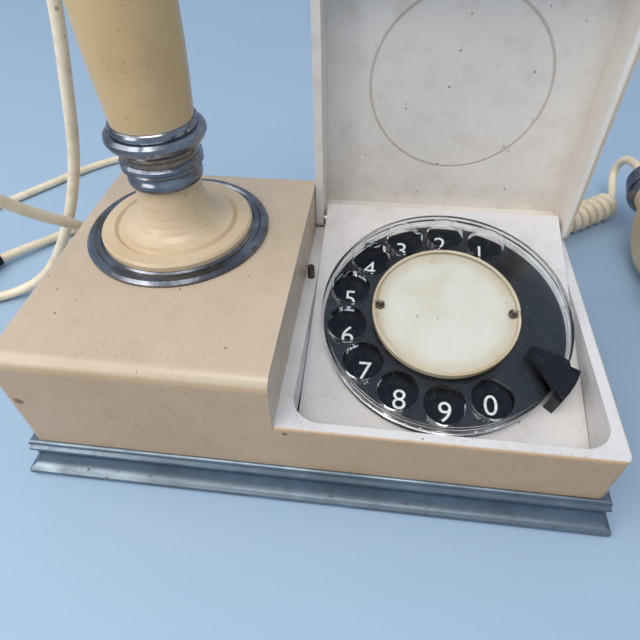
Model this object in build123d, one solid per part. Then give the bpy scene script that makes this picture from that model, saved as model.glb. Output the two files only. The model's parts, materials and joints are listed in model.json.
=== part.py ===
from build123d import *
import math
import os

# A table telephone: a low box with a tall left block that carries the column and cradle,
# and a tray on the right that holds the sloping dial under a hinged lid.
# Millimetres. +X right, +Y to the back, +Z up. The origin is the centre of the underside.

# ---- housing ----
body_w = 173.4
body_d = 98.9
plinth_top = 15.4
rim_top = 35.1
block_top = 54.4
divider_x = -8.3
wall = 2.6
rim_front = 3.2
rim_left = 4.1
rim_right = 3.7
tray_corner_r = 8.5
post_beam_z = 24.0
side_corner_r = 3.0
block_edge_r = 4.2
rim_edge_r = 0.8
seat_gap = 0.15

# ---- plinth, base plate, feet ----
plinth_ground = 0.4
plinth_bead = 1.0
plinth_lip = 1.8
plinth_cove = 0.8
plinth_foot = 4.4
plinth_ledge = 5.0
plinth_rabbet = 3.0
base_z = 2.0
base_t = 1.2
foot_r = 7.0
lug_r = 4.5
screw_r = 1.6
screw_head_r = 3.0
screw_head_t = 1.1

# ---- dial ----
deck_slope = 14.5
deck_meets_rim_in = 29.95
deck_t = 2.4
deck_skirt = 12.0
deck_skirt_t = 2.2
dial_y = -1.12
dial_off_centre = 0.36
dial_height = 7.1
wheel_r = 40.0
wheel_t = 2.5
wheel_top = 0.5
wheel_rim_t = 1.0
wheel_rim_up = 0.9
wheel_rim_down = 1.2
hole_pitch_r = 32.0
hole_r = 6.3
hole_collar_t = 0.6
hole_collar_up = 0.5
first_hole_angle = 64.3
hole_step_angle = 25.7
hole_count = 10
stop_from = -24.0
stop_to = -41.0
label_r = 23.5
label_wall = 0.9
label_floor_t = 0.6
label_card_t = 0.4
label_cover_t = 1.2
label_notch_w = 2.4
plate_inset = 0.5
plate_t = 1.6
stop_gap = 0.6
stop_skirt_t = 3.2
stop_plate_t = 2.0
dial_frame_r = 27.0
dial_frame_t = 1.5
shaft_r = 3.0
running_gap = 0.05
bush_r = 4.5
bush_len = 2.8
gear_module = 0.7
gear_teeth = 48
pinion_teeth = 12
gear_t = 1.8
gear_gap = 0.4
cam_r = 9.0
cam_notch_r = 1.1
governor_r = 8.0
governor_t = 3.4
governor_shaft_r = 1.2
bridge_t = 1.2
bridge_post_r = 2.0
bridge_post_offset = 12.0

# ---- lid ----
lid_gap = 0.2
lid_wall = 2.8
lid_back_in = 0.25
lid_lip_z = 45.0
hinge_in = 3.25
hinge_z = 38.3
hinge_round = 3.0
hinge_pin_r = 1.5
hinge_boss_r = 3.2
hinge_boss_len = 5.0
hinge_pin_cover = 0.8
hinge_pin_seat = 3.9
lid_ring_r = 30.0
lid_ring_w = 0.9
lid_ring_depth = 0.4
stop_lug_w = 8.0
stop_lug_out = 5.0
stop_lug_h = 6.0
plunger_r = 1.25
plunger_y = 14.4
plunger_proud = 4.7
plunger_flange_r = 1.9
plunger_flange_t = 2.0

# ---- column and cradle ----
column_x = -50.0
column_y = 12.2
ring_r = 29.8
ring_t = 1.8
bell_r = 24.5
bell_edge_t = 2.3
tube_r = 5.0
tube_bore_r = 3.05
rod_r = 3.0
tube_bottom = 42.0
nut_flats = 16.0
nut_t = 5.0
bell_top = 74.2
collar_top = 93.3
shaft_top = 172.0
upper_collar_top = 190.0
hook_travel = 5.0
rod_bottom = 26.0
yoke_z = 203.0
yoke_r = 3.0
hub_below = 4.0
hub_gap = 0.6
fork_span = 34.0
fork_r = 16.5
fork_wire_r = 2.6
fork_ball_r = 4.0

# ---- handset, lying on its side at the right of the base ----
handset_x = 139.5
handset_y = 115.0
handset_z = 24.5
ferrule_len = 18.0
mouth_u = 44.0
ear_u = 179.0
cup_r = 22.0
cap_r = 24.0
cup_back = 10.0
cup_depth = 14.0
cap_depth = 8.0
cup_wall = 2.4
handle_end_r = 8.5
handle_mid_r = 11.5
handle_ring_r = 12.5
handle_ring_t = 6.0
capsule_r = 17.0
capsule_t = 7.0

# ---- cords ----
cord_d = 4.0
cord_floor = 0.1
coil_d = 13.4
grommet_r = 4.2
grommet_len = 7.5
plug_sleeve = 10.0
plug_t = 8.0
plug_w = 15.0
plug_len = 17.0
plug_pin = 9.0
exit_z = 22.0
line_exit_x = -78.0
handset_exit_x = -50.0

half_w = body_w / 2
half_d = body_d / 2
deck_meets_rim_y = half_d - deck_meets_rim_in
hinge_y = half_d - hinge_in
lid_back_y = half_d - lid_back_in
plate_r = wheel_r - plate_inset
head_top = yoke_z - hub_below - hook_travel - hub_gap
tray_x0 = divider_x + rim_left
tray_x1 = half_w - rim_right
tray_y0 = -half_d + rim_front
tray_back = half_d - wall
dial_x = (tray_x0 + tray_x1) / 2 + dial_off_centre
slope = math.radians(deck_slope)
normal = (0, -math.sin(slope), math.cos(slope))


def deck_z(y):
    return rim_top + (y - deck_meets_rim_y) * math.tan(slope)


dial_z = deck_z(dial_y) + dial_height / math.cos(slope)
dial_plane = Plane(origin=(dial_x, dial_y, dial_z), x_dir=(1, 0, 0), z_dir=normal)
nodes = {}


def node(name, shape):
    shape.label = name
    nodes[name] = shape
    return shape


def block(x0, x1, y0, y1, z0, z1):
    return Pos((x0 + x1) / 2, (y0 + y1) / 2, (z0 + z1) / 2) * Box(x1 - x0, y1 - y0, z1 - z0)


def rod(r, z0, z1, x=0.0, y=0.0):
    return Pos(x, y, (z0 + z1) / 2) * Cylinder(r, z1 - z0)


def pipe(r_out, r_in, z0, z1, x=0.0, y=0.0):
    return rod(r_out, z0, z1, x, y) - rod(r_in, z0 - 1, z1 + 1, x, y)


def turned(points, x=0.0, y=0.0):
    """A solid of revolution about the vertical at x, y from (radius, height) points."""
    outline = make_face(Polyline([(r, 0, z) for r, z in points], close=True))
    return Pos(x, y, 0) * revolve(outline, Axis.Z)


def prism_x(points, x0, x1):
    """A straight prism along X from a (y, z) outline."""
    face = make_face(Polyline([(x0, y, z) for y, z in points], close=True))
    return extrude(face, amount=x1 - x0, dir=(1, 0, 0))


def on_dial(shape):
    return dial_plane.location * shape


def group(shapes):
    return Compound(children=list(shapes))


# ---- housing and base ----


def make_housing():
    left = block(-half_w, divider_x, -half_d, half_d, plinth_top, block_top)
    left = fillet(left.edges().filter_by(Axis.Z).group_by(Axis.X)[0], side_corner_r)
    top_edges = left.faces().sort_by(Axis.Z)[-1].edges()
    rounded = [e for e in top_edges if e.center().X < divider_x - 1]
    left = fillet(rounded, block_edge_r)
    right = block(divider_x - wall, half_w, -half_d, half_d, plinth_top, rim_top)
    right = fillet(right.edges().filter_by(Axis.Z).group_by(Axis.X)[-1], side_corner_r)
    rim_edges = right.faces().sort_by(Axis.Z)[-1].edges()
    right = fillet([e for e in rim_edges if e.center().X > divider_x], rim_edge_r)
    shell = left + right
    shell -= block(-half_w + wall, divider_x - wall, -half_d + wall, half_d - wall, 0, block_top - wall)
    opening = block(tray_x0, tray_x1, tray_y0, tray_back, 0, block_top)
    opening = fillet(opening.edges().filter_by(Axis.Z), tray_corner_r)
    back_corners = block(tray_x0, tray_x1, 0, tray_back, 0, block_top)
    shell -= opening + back_corners
    shell -= block(divider_x, tray_x0 + 1, tray_y0 + tray_corner_r, tray_back, 0, post_beam_z)
    shell -= block(divider_x - wall - 1, tray_x0 + 1, -half_d / 2, half_d / 2, 0, post_beam_z - wall)
    shell -= rod(tube_r + running_gap, tube_bottom, block_top + 1, column_x, column_y)
    shell -= rod(plunger_r + running_gap, 0, rim_top + 1, plunger_x, plunger_y)
    for x in (line_exit_x, handset_exit_x):
        hole = Pos(x, half_d, exit_z) * Rot(90, 0, 0) * Cylinder(grommet_r - 1.2, 3 * wall)
        shell -= hole
    for x in lug_places:
        lug = prism_x([(half_d - 0.5, rim_top - stop_lug_h), (half_d, rim_top - stop_lug_h),
                       (half_d + stop_lug_out, rim_top - stop_lug_h / 3), (half_d + stop_lug_out, rim_top),
                       (half_d - 0.5, rim_top)], x, x + stop_lug_w)
        shell += lug
    return shell


def plinth_face():
    """The moulding's section at the right-hand side: bead, lip, cove and foot."""
    x = half_w
    outer = Polyline([(x - plinth_ledge, 0, plinth_top), (x + plinth_bead - 0.5, 0, plinth_top)])
    bead = ThreePointArc((x + plinth_bead - 0.5, 0, plinth_top), (x + plinth_bead + 0.35, 0, plinth_top - 0.9),
                         (x + plinth_bead - 0.3, 0, plinth_top - 1.9))
    lip = Polyline([(x + plinth_bead - 0.3, 0, plinth_top - 1.9), (x + plinth_lip, 0, plinth_top - 2.9),
                    (x + plinth_lip, 0, plinth_top - 3.9)])
    cove = ThreePointArc((x + plinth_lip, 0, plinth_top - 3.9), (x + plinth_cove, 0, plinth_top - 8.0),
                         (x + plinth_foot - 0.9, 0, 3.6))
    foot = Polyline([(x + plinth_foot - 0.9, 0, 3.6), (x + plinth_foot, 0, 2.9), (x + plinth_foot, 0, 1.2),
                     (x + plinth_foot - 0.5, 0, plinth_ground), (x - plinth_rabbet, 0, plinth_ground),
                     (x - plinth_rabbet, 0, base_z + base_t), (x - plinth_ledge, 0, base_z + base_t),
                     (x - plinth_ledge, 0, plinth_top)])
    return make_face(outer.edges() + bead.edges() + lip.edges() + cove.edges() + foot.edges())


def plinth_side(length, reach):
    """One side of the frame, standing at x = reach and mitred at 45 degrees at both ends."""
    over = 20.0
    inside = 15.0
    bar = extrude(plinth_face(), amount=2 * (length + over), dir=(0, -1, 0))
    bar = Pos(reach - half_w, length + over, 0) * bar
    mitre = make_face(Polyline([(reach - inside, inside - length, 0), (reach - inside, length - inside, 0),
                                (reach + over, length + over, 0), (reach + over, -length - over, 0)],
                               close=True))
    return bar & extrude(mitre, amount=plinth_top + 1, dir=(0, 0, 1))


def make_plinth():
    frame = plinth_side(half_d, half_w)
    frame += Rot(0, 0, 180) * plinth_side(half_d, half_w)
    frame += Rot(0, 0, 90) * plinth_side(half_w, half_d)
    frame += Rot(0, 0, -90) * plinth_side(half_w, half_d)
    for x, y in corner_places(half_w - plinth_ledge - lug_r / 2, half_d - plinth_ledge - lug_r / 2):
        frame += rod(lug_r, base_z + base_t, plinth_top - 2, x, y)
        frame -= rod(screw_r, 0, plinth_top - 4, x, y)
    return frame


def corner_places(x, y):
    return [(sx * x, sy * y) for sx in (-1, 1) for sy in (-1, 1)]


def make_base_plate():
    side = plinth_rabbet + seat_gap
    plate = block(-half_w + side, half_w - side, -half_d + side, half_d - side, base_z, base_z + base_t)
    for x, y in corner_places(half_w - plinth_ledge - lug_r / 2, half_d - plinth_ledge - lug_r / 2):
        plate -= rod(screw_r + 0.2, 0, base_z + 5, x, y)
    for post in make_board_posts():
        plate += post
    return plate


def make_base_screws():
    screws = []
    for x, y in corner_places(half_w - plinth_ledge - lug_r / 2, half_d - plinth_ledge - lug_r / 2):
        head = rod(screw_head_r, base_z - screw_head_t, base_z, x, y)
        shank = rod(screw_r - 0.05, base_z, plinth_top - 5, x, y)
        screws.append(head + shank)
    return group(screws)


def make_feet():
    return group(rod(foot_r, 0, base_z, x, y) for x, y in corner_places(half_w - 24, half_d - 16))


def make_deck():
    """The sloping dial tray: a thin plate with skirts, standing proud of the rim at the back."""
    x0 = tray_x0 + seat_gap
    x1 = tray_x1 - seat_gap
    y0 = tray_y0 + seat_gap
    y1 = tray_back - seat_gap
    low = plinth_top + 0.1
    turn_y = deck_meets_rim_y - (rim_top - deck_skirt - low) / math.tan(slope)
    block_out = prism_x([(y0, deck_z(y0)), (half_d, deck_z(half_d)), (half_d, rim_top), (y1, rim_top),
                         (y1, deck_z(y1) - deck_skirt), (turn_y, low), (y0, low)], x0, x1)
    corners = block(x0, x1, y0, half_d, 0, block_top)
    corners = fillet(corners.edges().filter_by(Axis.Z).group_by(Axis.Y)[0], tray_corner_r - seat_gap)
    block_out &= corners
    drop = deck_t / math.cos(slope)
    yi0 = y0 + deck_skirt_t
    yi1 = half_d - deck_skirt_t
    inner = prism_x([(yi0, deck_z(yi0) - drop), (yi1, deck_z(yi1) - drop), (yi1, 0), (yi0, 0)],
                    x0 + deck_skirt_t, x1 - deck_skirt_t)
    inner_corners = block(x0 + deck_skirt_t, x1 - deck_skirt_t, yi0, half_d, 0, block_top)
    inner_corners = fillet(inner_corners.edges().filter_by(Axis.Z).group_by(Axis.Y)[0],
                           tray_corner_r - deck_skirt_t)
    deck = block_out - (inner & inner_corners)
    for x in (x0, x1 - hinge_boss_len):
        boss = Pos(x + hinge_boss_len / 2, hinge_y, hinge_z) * Rot(0, 90, 0)
        boss = boss * Cylinder(hinge_boss_r, hinge_boss_len)
        deck += boss & block(x, x + hinge_boss_len, y1 - 8, half_d, rim_top, deck_z(half_d))
    for sign in (-1, 1):
        x = x0 if sign < 0 else x1
        deck -= Pos(x, hinge_y, hinge_z) * Rot(0, 90, 0) * Cylinder(hinge_pin_r, 2 * (hinge_boss_len - 1))
    deck -= on_dial(rod(bush_r + 0.3, -20, 5))
    for angle in frame_screw_angles:
        deck -= on_dial(rod(1.0, -20, -dial_height - deck_t / 3,
                            frame_screw_r * math.cos(angle), frame_screw_r * math.sin(angle)))
    return deck


# ---- dial ----

frame_screw_r = 24.0
frame_screw_angles = [math.radians(a) for a in (100, 200, 290)]
deck_under = -dial_height - deck_t
gear_top = deck_under - dial_frame_t - bush_len - gear_gap
gear_bottom = gear_top - gear_t
cam_top = gear_bottom - gear_gap
cam_bottom = cam_top - gear_t
governor_x = gear_module * (gear_teeth + pinion_teeth) / 2
governor_top = cam_bottom - 1.0
governor_bottom = governor_top - governor_t
bridge_top = governor_bottom - 1.0
wheel_bottom = wheel_top - wheel_t


def hole_angles():
    return [first_hole_angle + hole_step_angle * i for i in range(hole_count)]


def hole_places():
    return [(hole_pitch_r * math.cos(math.radians(a)), hole_pitch_r * math.sin(math.radians(a)))
            for a in hole_angles()]


def make_finger_wheel():
    wheel = rod(wheel_r, wheel_bottom, wheel_top)
    wheel += pipe(wheel_r, wheel_r - wheel_rim_t, wheel_bottom - wheel_rim_down, wheel_top + wheel_rim_up)
    for x, y in hole_places():
        wheel += rod(hole_r + hole_collar_t, wheel_bottom, wheel_top + hole_collar_up, x, y)
    for x, y in hole_places():
        wheel -= rod(hole_r, wheel_bottom - 5, wheel_top + 5, x, y)
    wheel -= rod(shaft_r, wheel_bottom - 5, wheel_top + 5)
    return wheel


def make_label_cup():
    top = wheel_top + label_floor_t + label_card_t + label_cover_t
    cup = rod(label_r, wheel_top, top) - rod(label_r - label_wall, wheel_top + label_floor_t, top + 1)
    for sign in (-1, 1):
        cup -= Pos(sign * label_r, 0, top) * Box(3 * label_wall, label_notch_w, label_cover_t)
    return cup


def make_gear(teeth, bore, z0, z1, phase=0.0):
    """A spur gear with straight-sided teeth that leave backlash, so a meshed pair turns freely."""
    pitch_r = gear_module * teeth / 2
    tip_r = pitch_r + 0.75 * gear_module
    root_r = pitch_r - 1.15 * gear_module
    step = 2 * math.pi / teeth
    points = []
    for i in range(teeth):
        a = i * step + phase
        for r, share in ((root_r, -0.29), (tip_r, -0.12), (tip_r, 0.12), (root_r, 0.29)):
            points.append((r * math.cos(a + share * step), r * math.sin(a + share * step), z0))
    body = extrude(make_face(Polyline(points, close=True)), amount=z1 - z0, dir=(0, 0, 1))
    return body - rod(bore, z0 - 1, z1 + 1)


def make_pulse_cam():
    cam = rod(cam_r, cam_bottom, cam_top) - rod(shaft_r, cam_bottom - 1, cam_top + 1)
    for i in range(hole_count):
        a = math.radians(first_hole_angle + hole_step_angle * i)
        cam -= rod(cam_notch_r, cam_bottom - 1, cam_top + 1, cam_r * math.cos(a), cam_r * math.sin(a))
    return cam


def make_return_spring():
    """A flat spiral strip about the bush."""
    turns = 3.5
    inner_r = bush_r + 0.9
    pitch = 2.2
    strip = 0.45
    steps = 16
    count = int(turns * steps)
    z0 = deck_under - dial_frame_t - bush_len + 0.5

    def arm(offset):
        return [((inner_r + offset + pitch * i / steps) * math.cos(2 * math.pi * i / steps),
                 (inner_r + offset + pitch * i / steps) * math.sin(2 * math.pi * i / steps), z0)
                for i in range(count + 1)]

    face = make_face(Polyline(arm(0) + arm(strip)[::-1], close=True))
    return extrude(face, amount=bush_len - 1.0, dir=(0, 0, 1))


def make_dial_frame():
    plate = rod(dial_frame_r, deck_under - dial_frame_t, deck_under)
    plate += rod(bush_r, deck_under - dial_frame_t - bush_len, deck_under + deck_t)
    plate -= rod(shaft_r + running_gap, -40, 5)
    for angle in frame_screw_angles:
        plate -= rod(1.2, -40, 5, frame_screw_r * math.cos(angle), frame_screw_r * math.sin(angle))
    arbor_hole = rod(governor_shaft_r + running_gap, -40, deck_under - 0.3, governor_x)
    return plate + make_governor_bridge() - arbor_hole


def make_governor_bridge():
    bar = block(governor_x - 4, governor_x + 4, -bridge_post_offset - 3, bridge_post_offset + 3,
                bridge_top - bridge_t, bridge_top)
    for sign in (-1, 1):
        bar += rod(bridge_post_r, bridge_top - bridge_t, deck_under - dial_frame_t, governor_x,
                   sign * bridge_post_offset)
    return bar


def make_governor_weights():
    hub = rod(governor_r, governor_bottom, governor_top, governor_x)
    hub -= rod(governor_shaft_r, governor_bottom - 1, governor_top + 1, governor_x)
    slot = Box(2.0, 2 * (governor_r - 3.0), 2 * governor_t)
    for y in (-governor_r, governor_r):
        hub -= Pos(governor_x, y, (governor_bottom + governor_top) / 2) * slot
    return hub


def make_finger_stop():
    """A wedge over the wheel with a foot outside its rim that stands on the tray."""
    base = wheel_top + wheel_rim_up + 0.3
    outline = [(24.5, -12.8), (25.6, -11.4), (34.3, -14.4), (36.1, -15.7), (36.4, -17.0), (35.9, -18.7),
               (38.2, -21.2), (37.2, -23.0), (34.8, -26.6), (33.2, -28.2), (31.7, -26.4)]
    plate = extrude(make_face(Polyline([(x, y, base) for x, y in outline], close=True)),
                    amount=stop_plate_t, dir=(0, 0, 1))
    ring = pipe(wheel_r + stop_gap + stop_skirt_t, wheel_r + stop_gap, -dial_height, base)
    reach = 2 * wheel_r
    corners = [(0, 0, -dial_height)]
    for angle in (stop_from, stop_to):
        a = math.radians(angle)
        corners.append((reach * math.cos(a), reach * math.sin(a), -dial_height))
    sector = make_face(Polyline(corners, close=True))
    return plate + (ring & extrude(sector, amount=2 * dial_height, dir=(0, 0, 1)))


def make_pulse_contacts():
    """Three leaf springs clamped in an insulating stack beside the cam."""
    x0 = -cam_r - 6.5
    stack = block(x0 - 5, x0, 14, 20, deck_under - dial_frame_t - 7, deck_under - dial_frame_t)
    leaves = [block(x0 - 4.2 + 1.4 * i, x0 - 3.8 + 1.4 * i, -2, 14, cam_bottom, cam_top) for i in range(3)]
    for leaf in leaves:
        stack += leaf
    stack -= block(x0 - 3.6, x0 - 3.2, 15, 19, -60, deck_under - dial_frame_t - 6)
    return stack


def make_dial_screws():
    screws = []
    for angle in frame_screw_angles:
        x = frame_screw_r * math.cos(angle)
        y = frame_screw_r * math.sin(angle)
        shank = rod(0.95, deck_under - dial_frame_t, -dial_height - deck_t / 3 - 0.1, x, y)
        screws.append(shank + rod(2.0, deck_under - dial_frame_t - 1.2, deck_under - dial_frame_t, x, y))
    return group(screws)


# ---- lid ----

plunger_x = divider_x + rim_left / 2
lid_x0 = divider_x + lid_gap
lid_x1 = half_w
lug_places = (2.0, half_w - 20.0)
hinge_axis = Axis((0, hinge_y, hinge_z), (1, 0, 0))


def make_lid():
    """Built closed, then turned open a quarter turn about its hinge."""
    outer = block(lid_x0, lid_x1, -half_d, lid_back_y, rim_top + lid_gap, block_top)
    outer = fillet(outer.edges().filter_by(Axis.Z).group_by(Axis.X)[-1], side_corner_r)
    rims = outer.faces().sort_by(Axis.Z)[-1].edges()
    outer = fillet([e for e in rims if e.center().X > lid_x0 + 1], 1.6)
    inner = block(lid_x0 + lid_wall, lid_x1 - lid_wall, -half_d + lid_wall, lid_back_y - lid_wall,
                  0, block_top - lid_wall)
    inner = fillet(inner.edges().filter_by(Axis.Z).group_by(Axis.Y)[0], 4.0)
    lid = outer - inner
    lid -= block(lid_x0 + lid_wall, lid_x1 - lid_wall, lid_back_y - 2 * lid_wall, half_d + 5, 0, lid_lip_z)
    corner = block(lid_x0 - 1, lid_x1 + 1, hinge_y, half_d + 5, 0, hinge_z)
    corner -= Pos((lid_x0 + lid_x1) / 2, hinge_y, hinge_z) * Rot(0, 90, 0) * Cylinder(hinge_round, 200)
    lid -= corner
    bore_len = lid_x1 - lid_x0 - 2 * hinge_pin_cover
    bore = Cylinder(hinge_pin_r + running_gap, bore_len + 2 * running_gap)
    lid -= Pos((lid_x0 + lid_x1) / 2, hinge_y, hinge_z) * Rot(0, 90, 0) * bore
    groove = pipe(lid_ring_r + lid_ring_w / 2, lid_ring_r - lid_ring_w / 2, block_top - lid_wall - 1,
                  block_top - lid_wall + lid_ring_depth, dial_x, dial_y)
    lid -= groove
    return lid.rotate(hinge_axis, -90)


def make_hinge_pins():
    pins = []
    for outer, inner in ((lid_x0 + hinge_pin_cover, tray_x0 + seat_gap + hinge_pin_seat),
                         (tray_x1 - seat_gap - hinge_pin_seat, lid_x1 - hinge_pin_cover)):
        pin = Cylinder(hinge_pin_r, inner - outer)
        pins.append(Pos((outer + inner) / 2, hinge_y, hinge_z) * Rot(0, 90, 0) * pin)
    return group(pins)


def coil_spring(radius, wire_r, pitch, height, x, y, z):
    """A compression spring: a round wire along a helix standing at x, y, z."""
    path = Helix(pitch=pitch, height=height - 2 * wire_r, radius=radius)
    section = Plane(origin=path @ 0, z_dir=path % 0) * Circle(wire_r)
    return Pos(x, y, z + wire_r) * sweep(section, path=path, is_frenet=True)


# ---- column ----


def make_bell():
    z0 = block_top + ring_t
    edge = z0 + bell_edge_t
    points = [(tube_r + running_gap, z0), (bell_r, z0), (bell_r, edge - 0.8), (bell_r - 0.7, edge),
              (20.2, edge + 0.2), (19.2, edge - 0.7), (18.4, edge + 0.4)]
    for i in range(1, 9):
        t = i / 8
        points.append((18.4 - 8.4 * math.sin(t * math.pi / 2), edge + 0.4 + (bell_top - edge - 0.4) *
                       (1 - math.cos(t * math.pi / 2)) ** 1.15))
    points.append((tube_r + running_gap, bell_top))
    return turned(points, column_x, column_y)


def collar_points(z0, bore):
    """The turned collar: low bead, double bead, cone, wide bulge and a thin bead under the shaft."""
    profile = [(10.6, 0.0), (11.3, 0.6), (11.5, 1.6), (11.3, 2.6), (10.7, 3.4), (10.6, 4.3), (11.8, 4.9),
               (12.4, 5.7), (12.1, 6.3), (12.5, 6.8), (12.4, 7.7), (11.6, 8.4), (12.0, 10.2), (13.1, 12.1),
               (14.4, 13.5), (14.9, 14.7), (14.6, 15.8), (13.5, 16.6), (12.6, 16.8), (12.9, 17.3),
               (12.95, 18.1), (12.6, 18.8), (12.3, 19.1)]
    return [(bore, z0)] + [(r, z0 + h) for r, h in profile] + [(bore, z0 + profile[-1][1])]


def make_column_shaft():
    span = shaft_top - collar_top
    points = [(tube_r + running_gap, collar_top)]
    for i in range(9):
        t = i / 8
        belly = 1.6 * math.sin(math.pi * min(1.0, t * 1.25))
        points.append((11.9 + belly - 2.2 * t ** 3, collar_top + span * t))
    points.append((tube_r + running_gap, shaft_top))
    return turned(points, column_x, column_y)


def make_upper_collar():
    bore = tube_r + running_gap
    h = upper_collar_top - shaft_top
    profile = [(10.4, 0.0), (11.6, 1.2), (11.6, 2.6), (10.4, 3.6), (11.2, 5.5), (13.6, 8.2), (14.4, 10.4),
               (13.4, 12.6), (11.4, 13.8), (12.2, 14.8), (12.2, 16.2), (11.0, h)]
    points = [(bore, shaft_top)] + [(r, shaft_top + z) for r, z in profile] + [(bore, upper_collar_top)]
    return turned(points, column_x, column_y)


def make_cradle_head():
    bore = tube_bore_r
    points = [(bore, upper_collar_top), (10.6, upper_collar_top), (10.6, upper_collar_top + 1.5)]
    shoulder = upper_collar_top + 1.5
    for i in range(1, 6):
        t = i / 5 * math.pi / 2
        points.append((5.0 + 5.6 * math.cos(t), shoulder + (head_top - shoulder) * math.sin(t)))
    points.append((bore, head_top))
    return turned(points, column_x, column_y)


def make_nut():
    hexagon = extrude(RegularPolygon(nut_flats / 2, 6, major_radius=False), amount=nut_t)
    nut = Pos(column_x, column_y, block_top - wall - nut_t) * hexagon
    return nut - rod(tube_r + 0.05, tube_bottom, block_top, column_x, column_y)


def make_yoke():
    """A cross bar on the hook rod with a U-shaped fork at each end, all moving with the hook."""
    bar = Pos(column_x, column_y, yoke_z) * Rot(0, 90, 0) * Cylinder(yoke_r, 2 * fork_span)
    hub = turned([(0, yoke_z - hub_below), (5.5, yoke_z - hub_below), (7.0, yoke_z - 2.0), (7.0, yoke_z + 2.0),
                  (4.6, yoke_z + 5.0), (0, yoke_z + 6.5)], column_x, column_y)
    yoke = bar + hub
    for sign in (-1, 1):
        x = column_x + sign * fork_span
        ring = Pos(x, column_y, yoke_z + fork_r) * Rot(0, 90, 0) * Torus(fork_r, fork_wire_r)
        ring &= block(x - 5, x + 5, column_y - 30, column_y + 30, yoke_z - 10, yoke_z + fork_r)
        for side in (-1, 1):
            y = column_y + side * fork_r
            ring += rod(fork_wire_r, yoke_z + fork_r, yoke_z + fork_r + 5, x, y)
            ring += Pos(x, y, yoke_z + fork_r + 6.5) * Sphere(fork_ball_r)
        yoke += ring
    return yoke - rod(rod_r, 0, yoke_z - 1, column_x, column_y)


# ---- ringer and electrical pieces on the base plate ----

floor_z = base_z + base_t
gong_r = 14.0
gong_y = 19.95 - half_d
gong_dx = 18.5
gong_z0 = 14.0
gong_h = 11.0
ringer_x = -48.5
pivot_y = -15.0
clapper_z = 19.0
coil_y = -6.0
board_bottom = floor_z + 5.0
board_top = board_bottom + 1.6
transformer_h = 13.4
capacitor_r = 5.5


def make_gong(x):
    dome = [(3.0, gong_z0 + gong_h)]
    for i in range(7):
        t = i / 6 * math.pi / 2
        dome.append((3.0 + (gong_r - 3.0) * math.sin(t), gong_z0 + gong_h * math.cos(t) * 0.999))
    inner = [(max(r - 1.1, 1.6), z - 1.1) for r, z in dome[::-1]]
    inner[0] = (gong_r - 1.1, gong_z0)
    points = [p for p in dome[1:]] + inner[:-1] + [(1.6, gong_z0 + gong_h - 1.1), (1.6, gong_z0 + gong_h)]
    return turned(points, x, gong_y)


def make_gong_screw(x):
    post = rod(3.0, floor_z + 1.5, gong_z0 + gong_h - 3.0, x, gong_y)
    post += rod(1.5, gong_z0 + gong_h - 3.0, gong_z0 + gong_h, x, gong_y)
    return post + rod(2.8, gong_z0 + gong_h, gong_z0 + gong_h + 1.6, x, gong_y)


def make_ringer_frame():
    reach = gong_dx + 6
    plate = block(ringer_x - reach, ringer_x + reach, gong_y - 6, coil_y + 8, floor_z, floor_z + 1.5)
    for sign in (-1, 1):
        x = ringer_x + sign * 14.5
        plate += block(x - 1, x + 1, coil_y - 6, coil_y + 6, floor_z, 16 + 7)
    plate += rod(1.0, floor_z, clapper_z + 5, ringer_x, pivot_y)
    return plate


def make_ringer_coil():
    coil = Pos(ringer_x, coil_y, 15.0) * Rot(0, 90, 0) * Cylinder(6.0, 26.0)
    for sign in (-1, 1):
        coil += Pos(ringer_x + sign * 12.4, coil_y, 15.0) * Rot(0, 90, 0) * Cylinder(7.2, 1.6)
    return coil


def make_clapper():
    hub = pipe(2.4, 1.0 + running_gap, clapper_z - 2, clapper_z + 2, ringer_x, pivot_y)
    arm = block(ringer_x - 0.5, ringer_x + 0.5, gong_y, pivot_y - 2.2, clapper_z - 0.8, clapper_z + 0.8)
    ball = Pos(ringer_x, gong_y, clapper_z) * Sphere(2.4)
    return hub + arm + ball


def make_hook_bracket():
    """A bent strap under the hook rod that carries the spring."""
    x0 = column_x - 9
    x1 = column_x + 9
    strap = block(x0, x1, column_y - 6, column_y + 6, floor_z, floor_z + 1.2)
    strap += block(x0, x0 + 1.2, column_y - 6, column_y + 6, floor_z, 12)
    strap += block(x1 - 1.2, x1, column_y - 6, column_y + 6, floor_z, 12)
    return strap + block(x0, x1, column_y - 6, column_y + 6, 12, 13.2)


def make_hook_switch():
    stack = block(column_x + 12, column_x + 22, column_y - 5, column_y + 5, floor_z, 30)
    for i in range(3):
        z = 30 + 2.2 * i
        stack += block(column_x + 5.5, column_x + 22, column_y - 2, column_y + 2, z, z + 0.4)
        stack += block(column_x + 12, column_x + 22, column_y - 5, column_y + 5, z, z + 2.2)
    return stack


def make_hook_rod():
    hook = rod(rod_r, rod_bottom, yoke_z - 1, column_x, column_y)
    return hook + rod(4.6, rod_bottom, rod_bottom + 1.5, column_x, column_y)


def make_board():
    return block(14, 74, 14, 42, board_bottom, board_top)


def make_board_posts():
    return [rod(2.4, floor_z, board_bottom, x, y) for x in (18, 70) for y in (18, 38)]


def make_capacitor():
    can = Cylinder(capacitor_r, 24)
    return Pos(56, 34, board_top + capacitor_r + 0.2) * Rot(0, 90, 0) * can


def make_transformer():
    cheek = 3.0
    top = board_top + transformer_h
    core = block(20, 38, 20, 38, board_top, board_top + cheek)
    core += block(20, 38, 20, 38, top - cheek, top)
    return core + block(22, 36, 22, 36, board_top + cheek, top - cheek)


def make_terminal_block():
    strip = block(10, 62, -40, -30, floor_z, floor_z + 7)
    for i in range(6):
        strip -= rod(1.6, floor_z + 3, floor_z + 8, 14.5 + 8.6 * i, -35)
    return strip


def make_lid_switch():
    return block(plunger_x - 4, plunger_x + 4, plunger_y - 6, plunger_y + 6, floor_z, 10)


# ---- handset ----

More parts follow.
